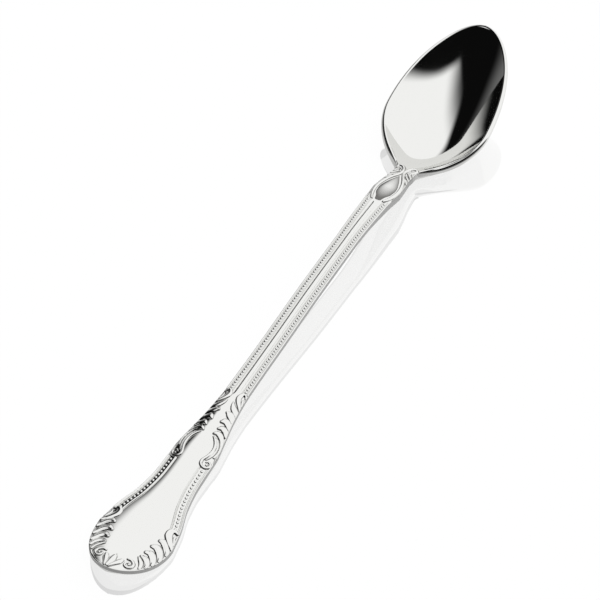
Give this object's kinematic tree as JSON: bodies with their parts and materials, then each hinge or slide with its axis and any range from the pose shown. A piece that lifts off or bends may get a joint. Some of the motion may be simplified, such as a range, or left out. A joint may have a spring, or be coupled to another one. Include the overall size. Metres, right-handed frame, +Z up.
{
  "type": "iced tea spoon",
  "caption": "Long-handled iced tea spoon in polished steel, small egg-shaped bowl, stamped bead, scroll and gadroon relief.",
  "frame": {"origin": "midway along the spoon's length and width, on the table that it lies on", "axes": "+Y from the terminal's tip to the bowl's tip, +X to the right seen from the terminal with the hollow up, +Z up from the table"},
  "size_m": [0.0284, 0.19, 0.0186],
  "materials": {
    "polished_steel": "polished",
    "relief_steel": "polished"
  },
  "bodies": {
    "root": {"bowl": "polished_steel", "neck": "polished_steel", "stem": "polished_steel", "shoulder": "polished_steel", "terminal": "polished_steel", "centre_rib": "relief_steel", "neck_cartouche": "polished_steel", "tip_shell": "relief_steel", "neck_scroll_left": "relief_steel", "neck_scroll_right": "relief_steel", "stem_border_left": "relief_steel", "stem_border_right": "relief_steel", "stem_beads_left": "relief_steel", "stem_beads_right": "relief_steel", "shoulder_leaves_left": "relief_steel", "shoulder_leaves_right": "relief_steel", "shoulder_scroll_left": "relief_steel", "shoulder_scroll_right": "relief_steel", "terminal_border_left": "relief_steel", "terminal_border_right": "relief_steel", "terminal_beads_left": "relief_steel", "terminal_beads_right": "relief_steel", "gadroon_left": "relief_steel", "gadroon_right": "relief_steel"}
  },
  "joints": []
}
